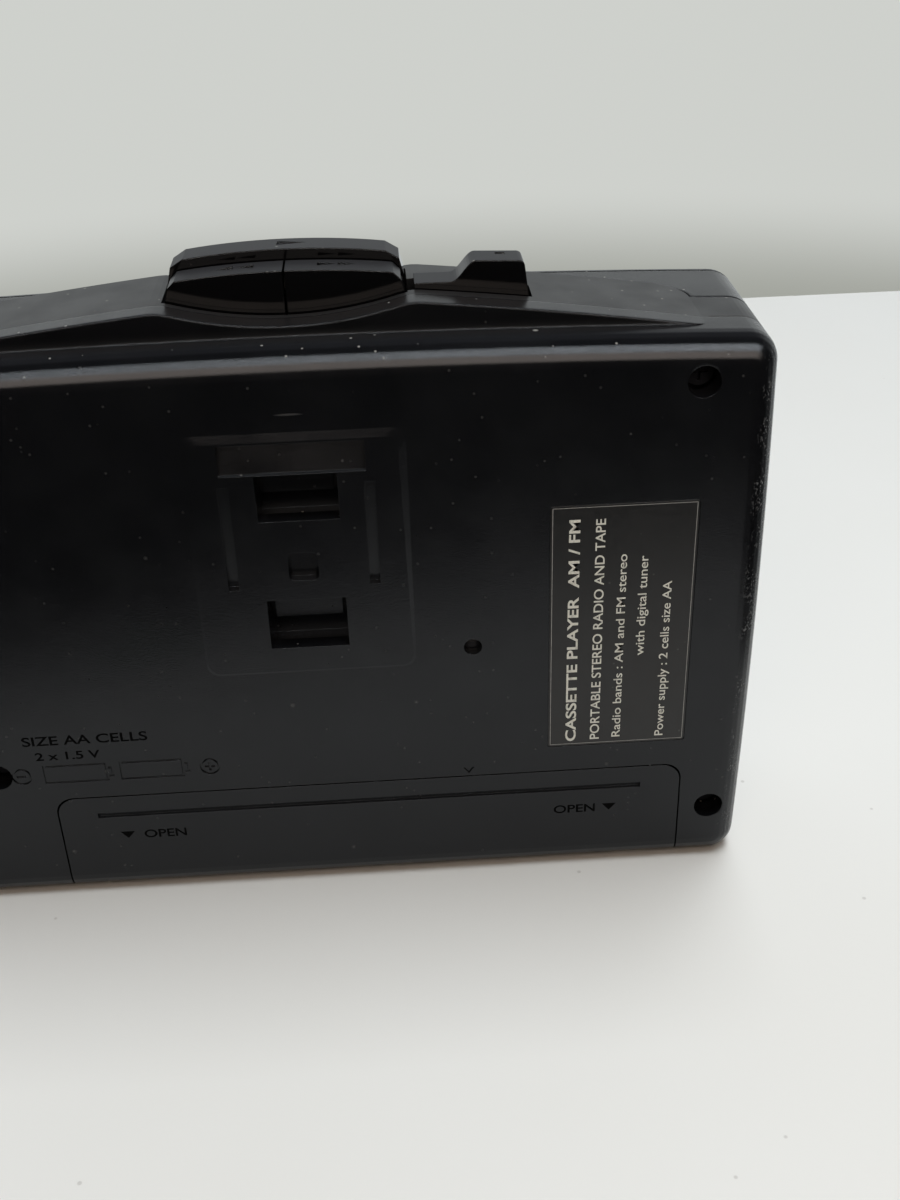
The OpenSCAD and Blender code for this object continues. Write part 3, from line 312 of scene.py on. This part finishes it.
SHELL = shell_plastic()
FRAME = moulded("frame_plastic", (0.007, 0.0075, 0.0085), 0.36, 0.9, 1.2).material
INNER = moulded("inner_plastic", (0.022, 0.023, 0.026), 0.5, 1.2, 0.5).material
SMALL_KEY = moulded("small_key_plastic", (0.03, 0.031, 0.034), 0.38, 0.8, 0.6).material
GEAR = moulded("gear_plastic", (0.62, 0.6, 0.52), 0.36, 0.4, 0).material
CAPACITOR = moulded("capacitor_sleeve", (0.008, 0.009, 0.014), 0.3, 0.3, 0).material
KEY = key_plastic()
LABEL = label_film()
RUBBER = rubber()
BOARD = circuit_board()
WINDING = winding()
CRYSTAL = liquid_crystal()
FERRITE = ferrite()
WINDOW = clear_plastic("tinted_window", (0.32, 0.34, 0.38))
CLEAR = clear_plastic("clear_window", (0.86, 0.88, 0.88))
STEEL = metal("plated_steel", (0.6, 0.6, 0.6), 0.24, (1, 1, 0.04))
SPRING = metal("spring_wire", (0.58, 0.58, 0.6), 0.2)
BRASS = metal("brass", (0.75, 0.5, 0.2), 0.2)
TIN = metal("tinned_can", (0.62, 0.62, 0.6), 0.35)
SCREW = metal("black_screw", (0.014, 0.014, 0.016), 0.4)
WHITE_INK = print_ink("white_print", (0.66, 0.66, 0.6))
GREY_INK = print_ink("grey_print", (0.3, 0.3, 0.29))
BLACK_INK = print_ink("segment_print", (0.02, 0.022, 0.02))
# painted shade: near-black and almost without gloss, in place of the shade in the strokes of marks moulded
# into the rear
PAINTED_SHADE = print_ink("painted_sunk_shade", (0.0003, 0.0003, 0.0004), Specular_IOR_Level=0.03)

FINISH = {
    "shell": SHELL, "frame": FRAME, "key": KEY, "inner": INNER, "label": LABEL, "window": WINDOW,
    "display": CRYSTAL, "small_key": SMALL_KEY, "steel": STEEL, "spring": SPRING, "screw": SCREW,
    "brass": BRASS, "copper": WINDING, "rubber": RUBBER, "gear": GEAR, "board": BOARD,
    "part": CAPACITOR, "ferrite": FERRITE, "can": TIN,
}
SLOT_OF = {part["node"]: part["material_slot"] for part in frame["record"]["subparts"]}

for node_name, node in NODES.items():
    node.data.materials.clear()
    node.data.materials.append(CLEAR if node_name == "display_window" else FINISH[SLOT_OF[node_name]])


# ---------- print and mouldings, in millimetres ----------
CAP_SHARE = 0.7         # a capital's height as a share of the font's size
INK = 0.004             # half the thickness of printed letters
ON_LABEL = 0.022        # depth of print: the label lies in a shallow recess
ON_REAR = -0.003        # depth of the painted-shade marks on the rear face, just proud of it
MARK_THICKNESS = 0.002
REAR_UPWARD = Matrix(((0, 1, 0), (0, 0, 1), (1, 0, 0)))       # text x to +Z, y to +X, facing +Y
REAR_LEVEL = Matrix(((-1, 0, 0), (0, 0, 1), (0, 1, 0)))       # text x to -X, y to +Z, facing +Y
FRONT_UPWARD = Matrix(((0, 1, 0), (0, 0, -1), (-1, 0, 0)))    # text x to -Z, y to +X, facing -Y
END_LEVEL = Matrix(((0, 0, 1), (1, 0, 0), (0, 1, 0)))         # text x to +Y, y to +Z, facing +X


def lettering(name, words, origin, turn, height, material, body, length=None, relief=INK, weight=0.0):
    """Letters with capitals of a given height.

    length squeezes or stretches the row, relief is half its thickness and weight thickens its strokes.
    """
    curve = bpy.data.curves.new(name, "FONT")
    curve.body = words
    curve.size = height * MM / CAP_SHARE
    curve.extrude = relief * MM
    curve.offset = weight * MM
    curve.materials.append(material)
    piece = bpy.data.objects.new(name, curve)
    bpy.context.scene.collection.objects.link(piece)
    bpy.context.view_layer.update()
    stretch = 1.0
    if length:
        stretch = length * MM / piece.dimensions.x
    piece.matrix_world = Matrix.Translation(origin) @ turn.to_4x4() @ Matrix.Diagonal((stretch, 1, 1, 1))
    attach(piece, body)


def flat_piece(name, outlines, depth, thickness, material, body):
    """Closed thin plates from outlines in X and Z, lying at a depth."""
    mesh = bmesh.new()
    for outline in outlines:
        near = [mesh.verts.new(at(x, depth, z)) for x, z in outline]
        far = [mesh.verts.new(at(x, depth + thickness, z)) for x, z in outline]
        mesh.faces.new(near)
        mesh.faces.new(far[::-1])
        for k in range(len(outline)):
            n = (k + 1) % len(outline)
            mesh.faces.new((near[n], near[k], far[k], far[n]))
    bmesh.ops.recalc_face_normals(mesh, faces=mesh.faces)
    data = bpy.data.meshes.new(name)
    mesh.to_mesh(data)
    mesh.free()
    data.materials.append(material)
    piece = bpy.data.objects.new(name, data)
    bpy.context.scene.collection.objects.link(piece)
    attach(piece, body)


def oblong(x0, x1, z0, z1):
    return [(x0, z0), (x1, z0), (x1, z1), (x0, z1)]


def label_print():
    """Rows of white print that run up the label, and its thin border."""
    rows = [    # name, words, X, first and last Z, capital height, stroke weight
        ("label_row_1", "CASSETTE PLAYER  AM / FM", -40.9, 26.0, 66.3, 1.6, 0.05),
        ("label_row_2", "PORTABLE STEREO RADIO AND TAPE", -44.7, 26.1, 66.2, 1.45, 0.02),
        ("label_row_3", "Radio bands : AM and FM stereo", -48.1, 26.3, 60.0, 1.35, 0.01),
        ("label_row_4", "with digital tuner", -51.3, 42.0, 59.8, 1.35, 0.01),
        ("label_row_5", "Power supply : 2 cells size AA", -55.1, 26.1, 55.0, 1.35, 0.01),
    ]
    for name, words, x, start, end, cap, weight in rows:
        place = at(x, ON_LABEL, start)
        run = end - start
        lettering(name, words, place, REAR_UPWARD, cap, WHITE_INK, "case", run, weight=weight)
    x0, x1 = -58.3, -36.8
    z0, z1 = 25.5, 68.4
    line = 0.09
    sides = [
        oblong(x0, x1, z0, z0 + line), oblong(x0, x1, z1 - line, z1),
        oblong(x0, x0 + line, z0, z1), oblong(x1 - line, x1, z0, z1),
    ]
    flat_piece("label_border", sides, ON_LABEL, 0.006, GREY_INK, "case")


def arrow_down(x, z, width, height):
    return [(x - width / 2, z + height / 2), (x, z - height / 2), (x + width / 2, z + height / 2)]


def painted_shade_mark(name, words, x, z, height, length, body):
    """Moulded letters drawn as painted shade: flat near-black letters just proud of the face, in place of the
    shade in their sunk strokes.
    """
    place = at(x, ON_REAR, z)
    lettering(name, words, place, REAR_LEVEL, height, PAINTED_SHADE, body, length, MARK_THICKNESS, 0.04)


def rear_mouldings():
    """Marks moulded into the battery door and into the shell above it, drawn as painted shade: flat
    near-black letters and arrows.
    """
    for name, x, tip in (("open_mark_left", 30.3, 32.9), ("open_mark_right", -37.5, -46.8)):
        painted_shade_mark(name, "OPEN", x, 11.3, 1.6, 6.9, "battery_cover")
        # the arrows are painted shade too: flat near-black plates in place of sunk arrows
        arrow = [arrow_down(tip, 12.1, 2.4, 1.4)]
        flat_piece(name + "_arrow", arrow, ON_REAR, MARK_THICKNESS, PAINTED_SHADE, "battery_cover")
    painted_shade_mark("size_mark", "SIZE AA CELLS", 46.8, 31.1, 1.7, 19.6, "case")
    painted_shade_mark("count_mark", "2 x 1.5 V", 45.2, 28.2, 1.5, 10.2, "case")


# Bars of a seven-segment figure: along and across as shares of its width and height
SEGMENTS = {
    "a": (0, 1, 1, 1), "b": (1, 1, 1, 0.5), "c": (1, 0.5, 1, 0), "d": (0, 0, 1, 0),
    "e": (0, 0.5, 0, 0), "f": (0, 1, 0, 0.5), "g": (0, 0.5, 1, 0.5),
}
FIGURES = {"1": "bc", "0": "abcdef", "4": "bcfg", "5": "acdfg"}


def display_print():
    """Segments of the display: a frequency in figures, reading with the tuner end up."""
    depth = (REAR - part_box("display_module")[0].y) / MM + 0.005
    figure_width = 3.1
    figure_height = 6.4
    half_bar = 0.31
    foot = 55.2                 # X of the figures' base line
    start = 81.4                # Z where the first figure begins
    pitch = 5.0
    point_gap = 0.9             # room for the point before the last figure
    outlines = []
    for index, figure in enumerate("1045"):
        left = start - index * pitch - (point_gap if index == 3 else 0)
        for segment in FIGURES[figure]:
            a0, b0, a1, b1 = SEGMENTS[segment]
            z0, z1 = sorted((left - a0 * figure_width, left - a1 * figure_width))
            x0, x1 = sorted((foot + b0 * figure_height, foot + b1 * figure_height))
            outlines.append(oblong(x0 - half_bar, x1 + half_bar, z0 - half_bar, z1 + half_bar))
    outlines.append(oblong(54.9, 55.7, 66.9, 67.7))    # the point
    flat_piece("display_segments", outlines, depth, 0.03, BLACK_INK, "case")
    band_place = at(63.0, depth + 0.02, 83.6)
    unit_place = at(52.2, depth + 0.02, 64.0)
    lettering("display_band", "FM", band_place, FRONT_UPWARD, 1.4, BLACK_INK, "case")
    lettering("display_unit", "MHz", unit_place, FRONT_UPWARD, 1.2, BLACK_INK, "case")


def front_print():
    """Legends on the tuner strip, the door and the tuner end."""
    front = (REAR - FRONT) / MM
    on_front = front + 0.002
    in_recess = front - 0.49    # just proud of the floor of the recess round the keys
    for name, words, z in (("legend_power", "POWER", 15.9), ("legend_band", "BAND", 26.4),
                           ("legend_tune_down", "TUNE -", 36.9), ("legend_tune_up", "TUNE +", 47.4)):
        lettering(name, words, at(49.9, in_recess, z), FRONT_UPWARD, 0.85, GREY_INK, "case", 4.4)
    strip_place = at(47.6, on_front, 81.0)
    lettering("legend_display", "AM / FM STEREO", strip_place, FRONT_UPWARD, 1.1, GREY_INK, "case")
    door_place = at(24.6, on_front, 70.0)
    door_words = "STEREO CASSETTE PLAYER"
    lettering("door_legend", door_words, door_place, FRONT_UPWARD, 1.6, GREY_INK, "door", 30.0)
    on_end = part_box("mid_frame")[1].x / MM + 0.01
    for name, words, z in (("phones_legend", "PHONES", 81.8), ("volume_legend", "VOLUME", 45.6),
                           ("switch_legend", "TAPE", 8.0)):
        lettering(name, words, at(on_end, 15.9, z), END_LEVEL, 0.95, GREY_INK, "case", 5.6)


label_print()
rear_mouldings()
display_print()
front_print()


# ---------- stage: table, light and camera ----------
TABLE_FAR = -0.266       # Y where the table ends and the pale wall begins
TABLE_SIDE = 1.6
# Line across the table, X and Y. Reflections see only the table on its far side. The part nearer to the
# camera and the part past the line's -X end give diffuse light alone.
GLOSS_LINE = ((TABLE_SIDE, 0.05), (0.1, 0.075), (-0.1, 0.13), (-0.13, 0.02), (-0.2, TABLE_FAR))


def table_material():
    p = Paint("table_top", (0.79, 0.80, 0.795), 0.55, edge=0, Specular_IOR_Level=0.25)
    p.tint(p.ramp(p.noise(9, 3.0), 0.4, 0.75, 0.0, 0.35), (0.74, 0.74, 0.72))
    p.tint(p.maths("MULTIPLY", p.dots(240, 0.1, 0.05), 0.4), (0.35, 0.34, 0.33))
    p.bump(p.noise(900, 3.0), 0.00003, 0.3)
    return p.material


def table_part(name, outline, material, in_gloss):
    """One flat part of the table top; in_gloss says whether reflections see it."""
    data = bpy.data.meshes.new(name)
    data.from_pydata([(x, y, 0) for x, y in outline], [], [tuple(range(len(outline)))])
    data.materials.append(material)
    part = bpy.data.objects.new(name, data)
    bpy.context.scene.collection.objects.link(part)
    part.visible_glossy = in_gloss


def area_light(name, place, target, size, energy, colour, in_gloss):
    """A lamp that only reflections see (in_gloss) or that gives only diffuse light."""
    data = bpy.data.lights.new(name, "AREA")
    data.shape = "RECTANGLE"
    data.size, data.size_y = size
    data.energy = energy
    data.color = colour
    light = bpy.data.objects.new(name, data)
    light.location = place
    light.rotation_euler = (Vector(target) - Vector(place)).to_track_quat("-Z", "Y").to_euler()
    light.visible_glossy = in_gloss
    light.visible_diffuse = not in_gloss
    bpy.context.scene.collection.objects.link(light)


def room():
    """A pale room for the part: bright low on the far side, dimmer above, dark on the near side.

    The camera sees a plain wall instead, which painted shade makes a little darker just above the table.
    """
    world = bpy.data.worlds.new("room")
    world.use_nodes = True
    tree = world.node_tree
    tree.nodes.clear()
    direction = tree.nodes.new("ShaderNodeTexCoord").outputs["Generated"]
    parts = tree.nodes.new("ShaderNodeSeparateXYZ")
    tree.links.new(direction, parts.inputs[0])

    def blend(value, low, high, at_low, at_high):
        """From one colour to the other as value goes from low to high."""
        ramp = tree.nodes.new("ShaderNodeMapRange")
        ramp.interpolation_type = "SMOOTHSTEP"
        ramp.inputs["From Min"].default_value = low
        ramp.inputs["From Max"].default_value = high
        tree.links.new(value, ramp.inputs["Value"])
        mix = tree.nodes.new("ShaderNodeMix")
        mix.data_type = "RGBA"
        tree.links.new(ramp.outputs[0], mix.inputs[MIX_FACTOR])
        for socket, colour in ((mix.inputs[MIX_A], at_low), (mix.inputs[MIX_B], at_high)):
            if isinstance(colour, bpy.types.NodeSocket):
                tree.links.new(colour, socket)
            else:
                socket.default_value = (*colour, 1)
        return mix.outputs[MIX_RESULT]

    far_side = blend(parts.outputs["Z"], 0.35, 0.75, (0.7, 0.73, 0.73), (0.27, 0.28, 0.3))
    around = blend(parts.outputs["Y"], -0.75, 0.2, far_side, (0.022, 0.021, 0.02))
    # painted shade: the wall's colour darkens just above the table line
    wall = blend(parts.outputs["Z"], -0.325, -0.25, (0.36, 0.37, 0.335), (0.62, 0.635, 0.605))
    seen = tree.nodes.new("ShaderNodeBackground")
    tree.links.new(wall, seen.inputs["Color"])
    lit = tree.nodes.new("ShaderNodeBackground")
    tree.links.new(around, lit.inputs["Color"])
    mix = tree.nodes.new("ShaderNodeMixShader")
    tree.links.new(tree.nodes.new("ShaderNodeLightPath").outputs["Is Camera Ray"], mix.inputs[0])
    tree.links.new(lit.outputs[0], mix.inputs[1])
    tree.links.new(seen.outputs[0], mix.inputs[2])
    tree.links.new(mix.outputs[0], tree.nodes.new("ShaderNodeOutputWorld").inputs[0])
    bpy.context.scene.world = world


CAMERA_PLACE = (-0.013634, 0.197736, 0.162670)
CAMERA_LENS = 42.06
CAMERA_ANGLES = (2.444, 30.930, -1.801)    # yaw, pitch and roll in degrees


def camera():
    """Camera above and behind the rear face, looking down at it."""
    data = bpy.data.cameras.new("camera")
    data.lens = CAMERA_LENS
    data.sensor_width = 36
    data.clip_start = 0.01
    data.clip_end = 20
    yaw, pitch, roll = (math.radians(angle) for angle in CAMERA_ANGLES)
    ahead = Vector((-math.sin(yaw) * math.cos(pitch), -math.cos(yaw) * math.cos(pitch), -math.sin(pitch)))
    level = Vector((-math.cos(yaw), math.sin(yaw), 0))
    up = level.cross(ahead)
    right = math.cos(roll) * level + math.sin(roll) * up
    up = right.cross(ahead)
    turn = Matrix((right, up, -ahead)).transposed()
    view = bpy.data.objects.new("camera", data)
    view.matrix_world = Matrix.Translation(CAMERA_PLACE) @ turn.to_4x4()
    bpy.context.scene.collection.objects.link(view)
    bpy.context.scene.camera = view


TABLE = table_material()
far_part = [(TABLE_SIDE, TABLE_FAR), *GLOSS_LINE]
near_part = [*GLOSS_LINE[::-1], (TABLE_SIDE, TABLE_SIDE), (-TABLE_SIDE, TABLE_SIDE), (-TABLE_SIDE, TABLE_FAR)]
table_part("table_far", far_part, TABLE, True)
table_part("table_near", near_part, TABLE, False)
REAR_TOP = (-0.05, 0.016, 0.09)
REAR_MIDDLE = (-0.05, 0.016, 0.05)
TABLE_BESIDE = (-0.1, 0.0, 0)
area_light("bright_strip", (-0.1, 0.62, 0.76), REAR_TOP, (1.5, 0.075), 10.0, (0.95, 0.98, 1.0), True)
area_light("warm_wall", (-0.1, 0.57, 0.33), REAR_TOP, (0.9, 0.22), 2.6, (1.0, 0.85, 0.74), True)
area_light("warm_bounce", (-0.1, 0.5, 0.5), REAR_MIDDLE, (0.8, 0.4), 1.2, (1.0, 0.78, 0.6), False)
area_light("fill", (-0.2, 0.0, 1.0), TABLE_BESIDE, (0.8, 0.3), 9.0, (0.97, 1.0, 1.0), False)
room()
camera()
bpy.context.scene.view_settings.view_transform = "Standard"
